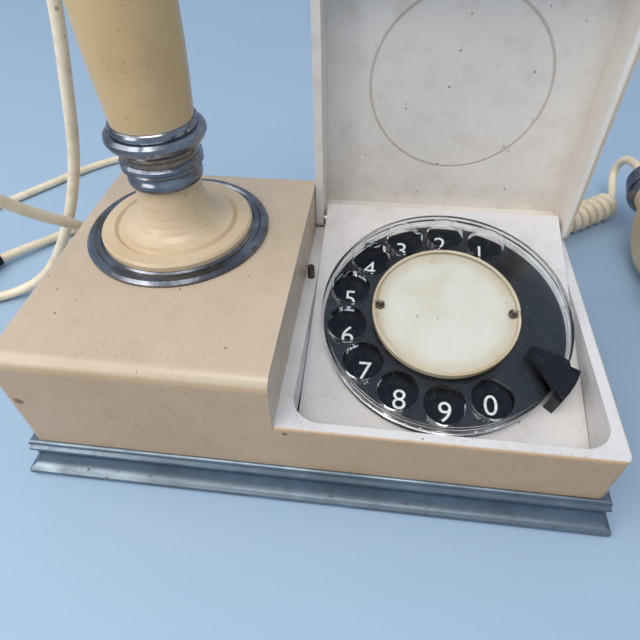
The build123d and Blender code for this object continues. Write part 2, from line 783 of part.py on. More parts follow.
handset_plane = Plane(origin=(handset_x, handset_y, handset_z), x_dir=(0, -1, 0), z_dir=(1, 0, 0))


def on_handset(shape):
    return handset_plane.location * shape


def along_handle(points):
    """A turned piece about the handle's own axis, from (distance along, radius) points."""
    outline = make_face(Polyline([(u, r, 0) for u, r in points], close=True))
    return on_handset(revolve(outline, Axis.X))


def make_ferrule():
    points = [(0.0, cord_d / 2 + 0.1), (0.0, 5.2), (1.5, 6.4)]
    for i in range(4):
        u = 2.5 + 3.1 * i
        r = 8.6 + 0.8 * i
        points += [(u, r - 0.9), (u + 0.6, r), (u + 1.9, r), (u + 2.5, r - 0.7)]
    points += [(ferrule_len - 2.2, 10.9), (ferrule_len, 9.4), (ferrule_len, cord_d / 2 + 0.1)]
    return along_handle(points)


def make_cup(u0):
    """A round cup across the handle, open towards its cap, with sockets for the handle's ends."""
    cup = Pos(u0, 0, (cup_depth - cup_back) / 2) * Cylinder(cup_r, cup_back + cup_depth)
    back_edge = cup.edges().filter_by(GeomType.CIRCLE).group_by(Axis.Z)[0]
    cup = fillet(back_edge, 6.0)
    return cup - rod(cup_r - cup_wall, cup_wall - cup_back, cup_depth + 1, u0)


def socket(u_from, u_to, r):
    return Pos((u_from + u_to) / 2, 0, 0) * Rot(0, 90, 0) * Cylinder(r, abs(u_to - u_from))


def make_mouth_body():
    cup = make_cup(mouth_u)
    cup += socket(ferrule_len, mouth_u - cup_r + 3, 9.0)
    cup += socket(mouth_u + cup_r - 3, mouth_u + cup_r + 3, 8.0)
    cup -= socket(ferrule_len - 1, mouth_u - cup_r + 5, cord_d / 2 + 0.6)
    return on_handset(cup)


def make_ear_body():
    cup = make_cup(ear_u)
    cup += socket(ear_u - cup_r - 3, ear_u - cup_r + 3, 8.0)
    return on_handset(cup)


def make_cap(u0, holes):
    z0 = cup_depth
    cap = Pos(u0, 0, z0 + cap_depth / 2) * Cylinder(cap_r, cap_depth)
    rim = cap.edges().filter_by(GeomType.CIRCLE).group_by(Axis.Z)[-1]
    cap = fillet(rim, 3.0)
    cap -= Pos(u0, 0, z0 + cap_depth) * Cylinder(cap_r - 7, 5.0)
    cap -= Pos(u0, 0, z0) * Cylinder(cap_r - 4.4, 6.0)
    for ring, count in ((0.0, 1), (5.5, 6), (11.0, holes)):
        for i in range(count):
            a = 2 * math.pi * i / count
            cap -= Pos(u0 + ring * math.cos(a), ring * math.sin(a), z0 + cap_depth / 2) * Cylinder(1.1, 20)
    return on_handset(cap)


def make_capsule(u0):
    can = Pos(u0, 0, cup_depth - capsule_t / 2 - 1.5) * Cylinder(capsule_r, capsule_t)
    seat = Pos(u0, 0, (cup_wall - cup_back + cup_depth - capsule_t - 1.5) / 2) * Cylinder(
        6.0, cup_depth - capsule_t - 1.5 + cup_back - cup_wall)
    return on_handset(can + seat)


def make_handle():
    u0 = mouth_u + cup_r + 3
    u1 = ear_u - cup_r - 3
    a = u0 + handle_ring_t
    b = u1 - handle_ring_t
    points = [(a, 0)]
    for i in range(11):
        t = i / 10
        belly = (handle_mid_r - handle_end_r) * math.sin(math.pi * t)
        points.append((a + (b - a) * t, handle_end_r + belly))
    points.append((b, 0))
    return along_handle(points)


def make_handle_ring(u):
    r = handle_ring_r
    return along_handle([(u, 0), (u, r - 3), (u + 1.2, r - 1.6), (u + 2.0, r - 0.4), (u + 3.0, r),
                         (u + 4.0, r - 0.4), (u + 4.8, r - 1.6), (u + handle_ring_t, r - 3),
                         (u + handle_ring_t, 0)])


def make_finial():
    u = ear_u + cup_r
    return along_handle([(u - 1.4, 0), (u - 0.25, 6.0), (u + 1.5, 7.5), (u + 3.0, 6.2), (u + 4.5, 6.6),
                         (u + 6.5, 4.6), (u + 7.6, 0)])


# ---- cords ----


def cord_tube(points, diameter, name):
    """Straight runs joined by arcs; prints each arc's radius and the tube's volume check."""
    pts = [Vector(*p) for p in points]
    runs = [(b - a).length for a, b in zip(pts, pts[1:])]
    radii = []
    for i in range(1, len(pts) - 1):
        turn = (pts[i] - pts[i - 1]).get_angle(pts[i + 1] - pts[i])
        radii.append(0.45 * min(runs[i - 1], runs[i]) / math.tan(math.radians(turn) / 2))
    path = FilletPolyline(*pts, radius=radii)
    section = Plane(origin=pts[0], z_dir=pts[1] - pts[0]) * Circle(diameter / 2)
    tube = sweep(section, path=path, transition=Transition.RIGHT)
    share = tube.volume / (math.pi * diameter ** 2 / 4 * path.length)
    print(name, "length", round(path.length, 1), "radii", [round(r) for r in radii],
          "runs", [round(r) for r in runs], "volume share", round(share, 4))
    return tube


lie = cord_d / 2 + cord_floor
line_route = [
    (-78, 56.95, 22), (-78, 65, 22), (-79, 77, 13), (-82.5, 94, lie + 0.4), (-90, 117, lie),
    (-101, 138, lie), (-118, 153, lie), (-137, 150, lie), (-156, 134, lie), (-171, 113, lie),
    (-187, 92, lie), (-205, 75, lie), (-221, 57, lie), (-228, 35, lie), (-223, 12, lie), (-206, -5, lie),
    (-186, -6, lie), (-168, 5, lie), (-154, 20, lie), (-138, 28, 3.2), (-124, 30, 12), (-111, 29, 28),
    (-99, 29, 48), (-89.5, 29, 70), (-82.5, 26.5, 92), (-77, 28, 118), (-74, 29, 146), (-72.5, 27, 174),
    (-71.5, 23.5, 196), (-71.5, 15.5, 210.5), (-73, -1, 211.5), (-80, -17, 200), (-93, -30, 180),
    (-107, -36, 156), (-114, -33, 130), (-112, -22, 104), (-103.5, -8, 80.5), (-95.5, 4, 63),
    (-91.2, 17, 50), (-91, 31, 34), (-93.5, 46, 18), (-98, 62, 6), (-104, 77, lie + 0.3), (-114, 87, lie),
    (-127, 85, lie), (-137, 75, lie), (-145, 64, lie + 0.8), (-152.5, 55, plug_t / 2 + cord_floor),
    (-159, 47, plug_t / 2 + cord_floor),
]
coil_lie = coil_d / 2 + cord_floor
coil_route = [
    (-34, 102, coil_lie), (-6, 101, coil_lie), (24, 93, coil_lie), (54, 86, coil_lie),
    (84, 88, coil_lie), (110, 101.5, coil_lie), (131, 118, coil_lie),
]
tail_route = [
    (-50, 56.95, 22), (-50, 65, 22), (-51.5, 77, 14.5), (-53, 90, 8), (-46, 100, coil_lie + 0.2),
    (-34, 102, coil_lie),
]
end_route = [
    (131, 118, coil_lie), (133.6, 124.5, 7.6), (133.8, 132, 10.5), (134.6, 137, 16.5),
    (136.6, 134.5, 22.8), (138.6, 126.5, 24.6), (139.5, 115, 24.5),
]


def make_plug():
    """A two-pin plug with a tapered sleeve, lying level where the line cord ends."""
    at = Vector(*line_route[-1])
    ahead = at - Vector(*line_route[-2])
    place = Plane(origin=at, x_dir=(0, 0, 1), z_dir=(ahead.X, ahead.Y, 0)).location
    sleeve = Pos(0, 0, plug_sleeve / 2) * Cone(cord_d / 2 + 0.6, plug_t / 2 - 0.2, plug_sleeve)
    body = fillet((Pos(0, 0, plug_sleeve + plug_len / 2) * Box(plug_t, plug_w, plug_len)).edges(), 1.2)
    plug = sleeve + body
    for sign in (-1, 1):
        plug += Pos(0, sign * plug_w / 4, plug_sleeve + plug_len + plug_pin / 2) * Cylinder(1.5, plug_pin)
    return place * plug


def make_handset_cord():
    """The curly stretch as one fat tube, with the plain ends that run to the base and the handset."""
    return group([cord_tube(coil_route, coil_d, "curly stretch"), cord_tube(tail_route, cord_d, "base end"),
                  cord_tube(end_route, cord_d, "handset end")])


def grommet(x):
    """A tapered sleeve through the back wall that the cord leaves by."""
    outline = [(cord_d / 2 + 0.05, 0), (grommet_r, 0), (grommet_r, 1.6), (cord_d / 2 + 0.9, grommet_len),
               (cord_d / 2 + 0.05, grommet_len)]
    sleeve = turned(outline) + pipe(grommet_r - 1.3, cord_d / 2 + 0.05, -wall - 1.0, 0)
    core = rod(cord_d / 2 + 0.05, -wall - 1.0, grommet_len)
    return Pos(x, half_d, exit_z) * Rot(-90, 0, 0) * (sleeve + core)


def build():
    node("housing", make_housing())
    node("plinth", make_plinth())
    node("base_plate", make_base_plate())
    node("base_screws", make_base_screws())
    node("rubber_feet", make_feet())
    node("dial_deck", make_deck())
    node("number_plate", on_dial(pipe(plate_r, bush_r + 0.3, -dial_height, -dial_height + plate_t)))
    node("finger_stop", on_dial(make_finger_stop()))
    node("dial_frame", on_dial(make_dial_frame()))
    node("dial_screws", on_dial(make_dial_screws()))
    node("return_spring", on_dial(make_return_spring()))
    node("pulse_contacts", on_dial(make_pulse_contacts()))
    node("finger_wheel", on_dial(make_finger_wheel()))
    node("label_cup", on_dial(make_label_cup()))
    card_z = wheel_top + label_floor_t
    node("label_card", on_dial(rod(label_r - label_wall - 0.1, card_z, card_z + label_card_t)))
    cover_z = card_z + label_card_t
    node("label_cover", on_dial(rod(label_r - label_wall - 0.1, cover_z, cover_z + label_cover_t)))
    node("dial_shaft", on_dial(rod(shaft_r, cam_bottom - 1.2, wheel_top)))
    node("dial_gear", on_dial(make_gear(gear_teeth, shaft_r, gear_bottom, gear_top)))
    node("pulse_cam", on_dial(make_pulse_cam()))
    half_tooth = math.pi / pinion_teeth
    pinion = make_gear(pinion_teeth, governor_shaft_r, gear_bottom, gear_top, half_tooth)
    pinion = Pos(governor_x, 0, 0) * pinion
    arbor = rod(governor_shaft_r, bridge_top - bridge_t, deck_under - 0.5, governor_x)
    node("governor_pinion", on_dial(pinion + arbor))
    node("governor_weights", on_dial(make_governor_weights()))
    node("lid", make_lid())
    node("hinge_pins", make_hinge_pins())
    plunger = rod(plunger_r, post_beam_z, rim_top + plunger_proud, plunger_x, plunger_y)
    plunger += rod(plunger_flange_r, post_beam_z - plunger_flange_t, post_beam_z, plunger_x, plunger_y)
    node("lid_plunger", plunger)
    node("plunger_spring", coil_spring(1.4, 0.25, 1.7, post_beam_z - plunger_flange_t - 10, plunger_x,
                                       plunger_y, 10))
    node("lid_switch", make_lid_switch())
    node("escutcheon_ring", turned([(tube_r + running_gap, block_top), (ring_r, block_top),
                                    (ring_r, block_top + 0.9), (ring_r - 0.9, block_top + ring_t),
                                    (ring_r - 2.4, block_top + ring_t), (ring_r - 3.0, block_top + ring_t - 0.5),
                                    (bell_r + 0.8, block_top + ring_t - 0.5), (bell_r + 0.3, block_top + ring_t),
                                    (tube_r + running_gap, block_top + ring_t)], column_x, column_y))
    node("column_foot", make_bell())
    node("lower_collar", turned(collar_points(bell_top, tube_r + running_gap), column_x, column_y))
    node("column_shaft", make_column_shaft())
    node("upper_collar", make_upper_collar())
    node("cradle_head", make_cradle_head())
    node("column_tube", pipe(tube_r, tube_bore_r, tube_bottom, upper_collar_top, column_x, column_y))
    node("column_nut", make_nut())
    node("hook_rod", make_hook_rod())
    node("cradle_yoke", make_yoke())
    node("hook_spring", coil_spring(3.4, 0.5, 2.4, rod_bottom - 13.2, column_x, column_y, 13.2))
    node("hook_bracket", make_hook_bracket())
    node("hook_switch", make_hook_switch())
    node("ringer_frame", make_ringer_frame())
    node("ringer_coil", make_ringer_coil())
    node("gongs", group([make_gong(ringer_x - gong_dx), make_gong(ringer_x + gong_dx)]))
    node("gong_screws", group([make_gong_screw(ringer_x - gong_dx), make_gong_screw(ringer_x + gong_dx)]))
    node("clapper", make_clapper())
    node("circuit_board", make_board())
    node("capacitor", make_capacitor())
    node("transformer", make_transformer())
    node("terminal_block", make_terminal_block())
    node("handset_ferrule", make_ferrule())
    node("mouth_body", make_mouth_body())
    node("mouth_cap", make_cap(mouth_u, 12))
    node("capsules", group([make_capsule(mouth_u), make_capsule(ear_u)]))
    node("handle", make_handle())
    node("handle_rings", group([make_handle_ring(mouth_u + cup_r + 3),
                                make_handle_ring(ear_u - cup_r - 3 - handle_ring_t)]))
    node("ear_body", make_ear_body())
    node("ear_cap", make_cap(ear_u, 12))
    node("cord_grommets", group([grommet(line_exit_x), grommet(handset_exit_x)]))
    node("line_cord", cord_tube(line_route, cord_d, "line cord"))
    node("line_plug", make_plug())
    node("handset_cord", make_handset_cord())


build()
os.makedirs("parts", exist_ok=True)
for name, shape in nodes.items():
    export_step(shape, f"parts/{name}.step")
print(len(nodes), "nodes")
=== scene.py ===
import json
import math
import bpy
from mathutils import Matrix, Vector


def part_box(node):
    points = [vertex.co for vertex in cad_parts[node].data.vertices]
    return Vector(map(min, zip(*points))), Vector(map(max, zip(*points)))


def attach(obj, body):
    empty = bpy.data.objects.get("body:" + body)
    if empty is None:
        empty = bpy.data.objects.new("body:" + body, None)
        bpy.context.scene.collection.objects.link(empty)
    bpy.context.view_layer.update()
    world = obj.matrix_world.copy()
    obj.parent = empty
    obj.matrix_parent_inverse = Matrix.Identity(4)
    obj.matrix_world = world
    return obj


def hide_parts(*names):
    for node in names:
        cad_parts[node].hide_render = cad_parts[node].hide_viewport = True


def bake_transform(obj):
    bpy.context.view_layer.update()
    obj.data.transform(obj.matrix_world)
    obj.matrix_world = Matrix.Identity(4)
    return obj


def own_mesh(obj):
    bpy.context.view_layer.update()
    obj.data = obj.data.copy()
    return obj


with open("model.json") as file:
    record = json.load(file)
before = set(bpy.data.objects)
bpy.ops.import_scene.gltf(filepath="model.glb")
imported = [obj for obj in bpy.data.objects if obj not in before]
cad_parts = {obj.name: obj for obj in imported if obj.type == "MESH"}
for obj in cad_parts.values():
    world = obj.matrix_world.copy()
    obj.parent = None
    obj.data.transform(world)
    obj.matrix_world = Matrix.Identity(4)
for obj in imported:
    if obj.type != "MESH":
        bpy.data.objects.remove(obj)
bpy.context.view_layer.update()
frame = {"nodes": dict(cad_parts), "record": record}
nodes = frame["nodes"]
MM = 0.001

# ---- sizes that follow the solid model, in millimetres ----
CORD_D = 4.0
COIL_D = 13.4
COIL_PITCH = 4.85
COIL_STEPS = 28
SPRING_STEPS = 24
DECK_SLOPE = math.radians(14.5)
DIGIT_R = 32.0
DIGIT_DROP = 0.35
DIGIT_TURN = 1.7
FIRST_HOLE = 64.3  # degrees
HOLE_STEP = 25.7
DIGIT_SIZE = 9.4
PLATE_HALF_T = 0.8
LENS_R = 22.5
LENS_GAP = 0.25
CLIP_R = 1.45
CLIP_OUT = 21.1
CLIP_LIFT = 0.5


# ---- camera, floor, light ----


LENS_MM = 29.75
SENSOR_MM = 36.0
CAMERA_PLACE = (16.871, -126.787, 159.611)
CAMERA_RIGHT = (0.99203, 0.12468, -0.01806)
CAMERA_UP = (-0.07685, 0.71250, 0.69745)
CAMERA_BACK = (0.09983, -0.69051, 0.71641)
SKY_TINT = (0.70, 0.83, 1.0, 1)
SKY_STRENGTH = 0.6
# Each light: name, place, what it faces, size, power, tint.
LIGHTS = [
    ("window", (-0.85, -0.15, 1.0), (0, 0, 0.05), (0.8, 0.8), 5.5, (1.0, 0.965, 0.915)),
    ("above", (-0.05, -0.55, 1.25), (0.03, 0.05, 0.05), (0.8, 0.6), 9.0, (1.0, 0.975, 0.94)),
    ("front", (-0.46, -0.44, 0.40), (-0.09, 0, 0.05), (0.35, 0.3), 1.3, (1.0, 0.955, 0.90)),
]


def make_camera():
    data = bpy.data.cameras.new("camera")
    data.lens = LENS_MM
    data.sensor_width = SENSOR_MM
    data.clip_start = 0.005
    camera = bpy.data.objects.new("camera", data)
    bpy.context.scene.collection.objects.link(camera)
    turn = Matrix((CAMERA_RIGHT, CAMERA_UP, CAMERA_BACK)).transposed().to_4x4()
    camera.matrix_world = Matrix.Translation(Vector(CAMERA_PLACE) * MM) @ turn
    bpy.context.scene.camera = camera


def area_light(name, place, target, size, power, tint):
    data = bpy.data.lights.new(name, "AREA")
    data.shape = "RECTANGLE"
    data.size = size[0]
    data.size_y = size[1]
    data.energy = power
    data.color = tint
    light = bpy.data.objects.new(name, data)
    bpy.context.scene.collection.objects.link(light)
    light.location = place
    light.rotation_euler = (Vector(target) - Vector(place)).to_track_quat("-Z", "Y").to_euler()


def make_studio():
    clear_selection()
    bpy.ops.mesh.primitive_plane_add(size=8.0, location=(0, 0, 0))
    floor = bpy.context.object
    floor.name = "floor"
    floor.data.materials.append(floor_finish())
    for light in LIGHTS:
        area_light(*light)
    world = bpy.data.worlds.new("room")
    bpy.context.scene.world = world
    world.use_nodes = True
    background = world.node_tree.nodes["Background"]
    background.inputs["Color"].default_value = SKY_TINT
    background.inputs["Strength"].default_value = SKY_STRENGTH


# ---- small helpers ----


def clear_selection():
    if bpy.context.object and bpy.context.object.mode != "OBJECT":
        bpy.ops.object.mode_set(mode="OBJECT")
    bpy.ops.object.select_all(action="DESELECT")


def settle(piece, name, finish, body):
    """Puts a finished piece's place into its mesh, gives it its finish and its body."""
    clear_selection()
    piece.name = name
    piece.data.name = name
    bpy.context.view_layer.objects.active = piece
    piece.select_set(True)
    bpy.ops.object.transform_apply(location=True, rotation=True, scale=True)
    piece.data.materials.clear()
    piece.data.materials.append(finish)
    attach(piece, body)
    clear_selection()
    return piece


# ---- node helpers ----


def link(tree, a, b):
    tree.links.new(a, b)


def add(tree, kind, **settings):
    made = tree.nodes.new(kind)
    for key, value in settings.items():
        setattr(made, key, value)
    return made


def new_group(name, inputs, outputs):
    """A shader node group with named number, colour or vector sockets."""
    group = bpy.data.node_groups.new(name, "ShaderNodeTree")
    kinds = {"value": "NodeSocketFloat", "color": "NodeSocketColor", "vector": "NodeSocketVector"}
    for label, kind, default in inputs:
        socket = group.interface.new_socket(name=label, in_out="INPUT", socket_type=kinds[kind])
        if default is not None:
            socket.default_value = default
    for label, kind in outputs:
        group.interface.new_socket(name=label, in_out="OUTPUT", socket_type=kinds[kind])
    start = group.nodes.new("NodeGroupInput")
    end = group.nodes.new("NodeGroupOutput")
    return group, start, end


def noise(tree, vector, scale, detail=3.0, rough=0.55):
    made = add(tree, "ShaderNodeTexNoise")
    made.inputs["Scale"].default_value = scale
    made.inputs["Detail"].default_value = detail
    made.inputs["Roughness"].default_value = rough
    link(tree, vector, made.inputs["Vector"])
    return made


def ramp(tree, value, low, high, a=0.0, b=1.0):
    """Maps value from low..high to a..b, smoothly and clamped."""
    made = add(tree, "ShaderNodeMapRange", interpolation_type="SMOOTHSTEP")
    made.inputs["From Min"].default_value = low
    made.inputs["From Max"].default_value = high
    made.inputs["To Min"].default_value = a
    made.inputs["To Max"].default_value = b
    link(tree, value, made.inputs["Value"])
    return made.outputs["Result"]


def maths(tree, operation, a, b):
    made = add(tree, "ShaderNodeMath", operation=operation)
    for socket, value in zip(made.inputs, (a, b)):
        if isinstance(value, (int, float)):
            socket.default_value = value
        else:
            link(tree, value, socket)
    return made.outputs[0]


def mix(tree, factor, a, b, blend="MIX"):
    made = add(tree, "ShaderNodeMix", data_type="RGBA", blend_type=blend)
    for socket, value in ((made.inputs[0], factor), (made.inputs[6], a), (made.inputs[7], b)):
        if isinstance(value, (int, float)):
            socket.default_value = value
        elif isinstance(value, tuple):
            socket.default_value = (*value[:3], 1)
        else:
            link(tree, value, socket)
    return made.outputs[2]


# ---- shared effects ----


def specks_group():
    """Small round dirt specks. Amount is the share of cells that hold one, more in some patches."""
    group, start, end = new_group(
        "Dirt_specks",
        [("Vector", "vector", None), ("Scale", "value", 400.0), ("Amount", "value", 0.5)],
        [("Mask", "value")],
    )
    cells = add(group, "ShaderNodeTexVoronoi", feature="F1")
    link(group, start.outputs["Vector"], cells.inputs["Vector"])
    link(group, start.outputs["Scale"], cells.inputs["Scale"])
    patch = noise(group, start.outputs["Vector"], 38.0, 3.0)
    pick = add(group, "ShaderNodeSeparateColor")
    link(group, cells.outputs["Color"], pick.inputs[0])
    size = ramp(group, pick.outputs[0], 0.3, 1.0, 0.09, 0.27)
    dot = ramp(group, maths(group, "SUBTRACT", size, cells.outputs["Distance"]), 0.0, 0.08)
    crowding = ramp(group, patch.outputs["Fac"], 0.3, 0.7, 0.2, 1.9)
    share = maths(group, "MULTIPLY", start.outputs["Amount"], crowding)
    kept = maths(group, "LESS_THAN", pick.outputs[1], share)
    link(group, maths(group, "MULTIPLY", dot, kept), end.inputs["Mask"])
    return group


def grime_group():
    """Broad soft stains and finer smudges, as two masks."""
    group, start, end = new_group(
        "Grime",
        [("Vector", "vector", None), ("Scale", "value", 14.0)],
        [("Stain", "value"), ("Smudge", "value")],
    )
    scaled = add(group, "ShaderNodeVectorMath", operation="SCALE")
    link(group, start.outputs["Vector"], scaled.inputs[0])
    link(group, start.outputs["Scale"], scaled.inputs["Scale"])
    broad = noise(group, scaled.outputs[0], 1.0, 4.0, 0.6)
    fine = noise(group, scaled.outputs[0], 7.0, 5.0, 0.65)
    link(group, ramp(group, broad.outputs["Fac"], 0.38, 0.68), end.inputs["Stain"])
    link(group, ramp(group, fine.outputs["Fac"], 0.45, 0.75), end.inputs["Smudge"])
    return group


def scratches_group():
    """Fine scratches that run in one direction, as a mask."""
    group, start, end = new_group(
        "Scratches",
        [("Vector", "vector", None), ("Scale", "value", 60.0),
         ("Stretch", "vector", (1.0, 12.0, 12.0))],
        [("Mask", "value")],
    )
    stretched = add(group, "ShaderNodeVectorMath", operation="MULTIPLY")
    link(group, start.outputs["Vector"], stretched.inputs[0])
    link(group, start.outputs["Stretch"], stretched.inputs[1])
    scaled = add(group, "ShaderNodeVectorMath", operation="SCALE")
    link(group, stretched.outputs[0], scaled.inputs[0])
    link(group, start.outputs["Scale"], scaled.inputs["Scale"])
    lines = noise(group, scaled.outputs[0], 1.0, 4.0, 0.7)
    link(group, ramp(group, lines.outputs["Fac"], 0.5, 0.66), end.inputs["Mask"])
    return group


GROUP_MAKERS = {"specks": specks_group, "grime": grime_group, "scratches": scratches_group}
GROUPS = {}


def effect(tree, name, vector, **values):
    """The outputs of a shared effect, whose group is made the first time it is used."""
    if name not in GROUPS:
        GROUPS[name] = GROUP_MAKERS[name]()
    made = add(tree, "ShaderNodeGroup", node_tree=GROUPS[name])
    link(tree, vector, made.inputs["Vector"])
    for key, value in values.items():
        made.inputs[key].default_value = value
    return made.outputs


def new_finish(name, roughness=0.5, metallic=0.0, coat=0.0, specular=0.5):
    material = bpy.data.materials.new(name)
    material.use_nodes = True
    tree = material.node_tree
    shader = tree.nodes["Principled BSDF"]
    shader.inputs["Roughness"].default_value = roughness
    shader.inputs["Metallic"].default_value = metallic
    shader.inputs["Coat Weight"].default_value = coat
    shader.inputs["Specular IOR Level"].default_value = specular
    place = add(tree, "ShaderNodeTexCoord").outputs["Object"]
    return material, tree, shader, place


def bump(tree, shader, height, strength, distance):
    made = add(tree, "ShaderNodeBump")
    made.inputs["Strength"].default_value = strength
    made.inputs["Distance"].default_value = distance
    link(tree, height, made.inputs["Height"])
    link(tree, made.outputs["Normal"], shader.inputs["Normal"])


# ---- finishes ----

CREAM = (0.53, 0.422, 0.312)
YELLOWED = (0.49, 0.375, 0.26)
COLUMN = (0.605, 0.475, 0.315)
COLUMN_AGED = (0.54, 0.39, 0.23)
DIRT = (0.33, 0.225, 0.14)
DIRT_SPECK = (0.115, 0.06, 0.035)
RUST = (0.10, 0.055, 0.035)
PALE = (0.69, 0.67, 0.665)
TRAY_STAIN = (0.69, 0.65, 0.62)
# Multiplier for the front face: yellowing, and painted shade that darkens the whole front.
FRONT_YELLOWING_AND_SHADE = (0.90, 0.78, 0.64)
LID_PALE = (0.77, 0.72, 0.66)
COLUMN_TAN = (1.0, 0.92, 0.72)
LABEL_RIM = (0.60, 0.52, 0.38)
LABEL_RIM_AGED = (0.44, 0.34, 0.20)
CARD = (0.74, 0.715, 0.63)
CARD_STAIN = (0.68, 0.63, 0.51)
CARD_EDGE = (0.50, 0.36, 0.17)
VINYL = (0.82, 0.71, 0.53)
VINYL_AGED = (0.74, 0.60, 0.40)
VINYL_DIRT = (0.36, 0.26, 0.15)
TABLE = ((0.30, 0.415, 0.555), (0.34, 0.455, 0.59))
DIGIT_WHITE = (0.80, 0.84, 0.84)
DIGIT_WORN = (0.55, 0.58, 0.58)
BOX_BLUR = 0.25

# Where the moulding was kept from the light or had most of it, and the front face, whose multiplier
# also paints shade: low and high corners in millimetres.
TRAY_BOX = ((-8.25, -48.8, 10.0), (86.3, 46.9, 36.0))
FRONT_SHADE_BOX = ((-90.0, -50.0, 10.0), (90.0, -48.9, 60.0))
LID_BOX = ((-10.6, 38.0, 36.0), (85.6, 59.9, 132.6))
SHAFT_BOX = ((-90.0, -30.0, 94.0), (-20.0, 60.0, 260.0))
# Dark knocks on the front: place and radius.
FRONT_CHIPS = (((-82.3, -49.4, 36.3), 1.6), ((-5.0, -49.4, 33.0), 0.9))


def inside_box(tree, place, low, high):
    """A mask that is 1 within a box of millimetres and falls off over half a millimetre."""
    axes = add(tree, "ShaderNodeSeparateXYZ")
    link(tree, place, axes.inputs[0])
    mask = None
    for axis in range(3):
        along = axes.outputs[axis]
        above = ramp(tree, along, (low[axis] - BOX_BLUR) * MM, (low[axis] + BOX_BLUR) * MM)
        below = ramp(tree, along, (high[axis] - BOX_BLUR) * MM, (high[axis] + BOX_BLUR) * MM,
                     1.0, 0.0)
        both = maths(tree, "MULTIPLY", above, below)
        mask = both if mask is None else maths(tree, "MULTIPLY", mask, both)
    return mask


def near_point(tree, place, spot, radius):
    """A ragged mask about a spot in millimetres."""
    away = add(tree, "ShaderNodeVectorMath", operation="DISTANCE")
    link(tree, place, away.inputs[0])
    away.inputs[1].default_value = Vector(spot) * MM
    ragged = noise(tree, place, 620.0, 3.0)
    wander = maths(tree, "MULTIPLY", ragged.outputs["Fac"], radius * MM)
    edge = maths(tree, "ADD", away.outputs["Value"], wander)
    return ramp(tree, edge, radius * 1.15 * MM, radius * 1.5 * MM, 1.0, 0.0)


def aged_plastic(name, clean, yellowed, speck_amount, inside=None, yellowing_and_shade=None, chips=()):
    """Old cream moulding plastic: yellowing, handling stains and dirt specks. inside is a box that
    was kept from the light and its colour; the next argument is a box that had most of the light
    and what multiplies the colour there, used on the front face for painted shade as well as
    yellowing; and chips are dark knocks."""
    material, tree, shader, place = new_finish(name, 0.42)
    grime = effect(tree, "grime", place, Scale=16.0)
    colour = mix(tree, grime["Stain"], clean, yellowed)
    if yellowing_and_shade:
        (low, high), yellow_and_shade_factor = yellowing_and_shade
        # Multiplies the colour inside the box darker: yellowing, and on the front face also painted
        # shade.
        darker = mix(tree, 1.0, colour, yellow_and_shade_factor, "MULTIPLY")
        colour = mix(tree, inside_box(tree, place, low, high), colour, darker)
    if inside:
        (low, high), pale = inside
        stained = mix(tree, grime["Stain"], pale, tuple(0.93 * c for c in pale))
        colour = mix(tree, inside_box(tree, place, low, high), colour, stained)
    smudge = maths(tree, "MULTIPLY", grime["Smudge"], 0.2)
    colour = mix(tree, smudge, colour, DIRT)
    fine = effect(tree, "specks", place, Scale=1350.0, Amount=speck_amount)
    coarse = effect(tree, "specks", place, Scale=520.0, Amount=speck_amount * 0.22)
    specks = maths(tree, "MAXIMUM", fine["Mask"], coarse["Mask"])
    for spot, radius in chips:
        specks = maths(tree, "MAXIMUM", specks, near_point(tree, place, spot, radius))
    colour = mix(tree, maths(tree, "MULTIPLY", specks, 0.75), colour, DIRT_SPECK)
    link(tree, colour, shader.inputs["Base Color"])
    gloss = maths(tree, "ADD", ramp(tree, grime["Smudge"], 0, 1, 0.32, 0.5),
                  maths(tree, "MULTIPLY", specks, 0.3))
    link(tree, gloss, shader.inputs["Roughness"])
    grain = noise(tree, place, 900.0, 2.0)
    height = maths(tree, "ADD", maths(tree, "MULTIPLY", grain.outputs["Fac"], 0.4), specks)
    bump(tree, shader, height, 0.22, 0.00006)
    return material


def worn_metal(name, bright, dark, patina, rust, stretch=(1.0, 1.0, 1.0), rough=(0.22, 0.5)):
    """Plated metal gone dull: dark patina between two noise levels, scratches and spots of rust."""
    material, tree, shader, place = new_finish(name, 0.35, metallic=1.0)
    grime = effect(tree, "grime", place, Scale=38.0)
    broad = noise(tree, place, 55.0, 6.0, 0.68)
    dulled = ramp(tree, broad.outputs["Fac"], patina[0], patina[1])
    scratch = effect(tree, "scratches", place, Scale=110.0, Stretch=stretch)
    colour = mix(tree, dulled, bright, dark)
    colour = mix(tree, maths(tree, "MULTIPLY", scratch["Mask"], 0.35), colour, bright)
    spots = effect(tree, "specks", place, Scale=480.0, Amount=rust)
    colour = mix(tree, spots["Mask"], colour, RUST)
    link(tree, colour, shader.inputs["Base Color"])
    plain = maths(tree, "SUBTRACT", 1.0, maths(tree, "MULTIPLY", spots["Mask"], 0.85))
    link(tree, plain, shader.inputs["Metallic"])
    gloss = maths(tree, "ADD", ramp(tree, broad.outputs["Fac"], 0.3, 0.75, rough[0], rough[1]),
                  maths(tree, "MULTIPLY", grime["Smudge"], 0.15))
    link(tree, gloss, shader.inputs["Roughness"])
    height = maths(tree, "ADD", maths(tree, "MULTIPLY", scratch["Mask"], 0.4),
                   maths(tree, "MULTIPLY", broad.outputs["Fac"], 0.8))
    bump(tree, shader, height, 0.3, 0.0001)
    return material


def clear_plastic(name, ior, dust_amount):
    """Clear plastic with fine scratches and dust that only roughen it."""
    material, tree, shader, place = new_finish(name, 0.08)
    shader.inputs["Base Color"].default_value = (0.96, 0.975, 0.985, 1)
    shader.inputs["Transmission Weight"].default_value = 1.0
    shader.inputs["IOR"].default_value = ior
    scratch = effect(tree, "scratches", place, Scale=140.0, Stretch=(1.0, 8.0, 8.0))
    dust = effect(tree, "specks", place, Scale=700.0, Amount=dust_amount)
    link(tree, maths(tree, "ADD", ramp(tree, scratch["Mask"], 0, 1, 0.04, 0.12),
                     maths(tree, "MULTIPLY", dust["Mask"], 0.5)), shader.inputs["Roughness"])
    bump(tree, shader, scratch["Mask"], 0.08, 0.00004)
    return material


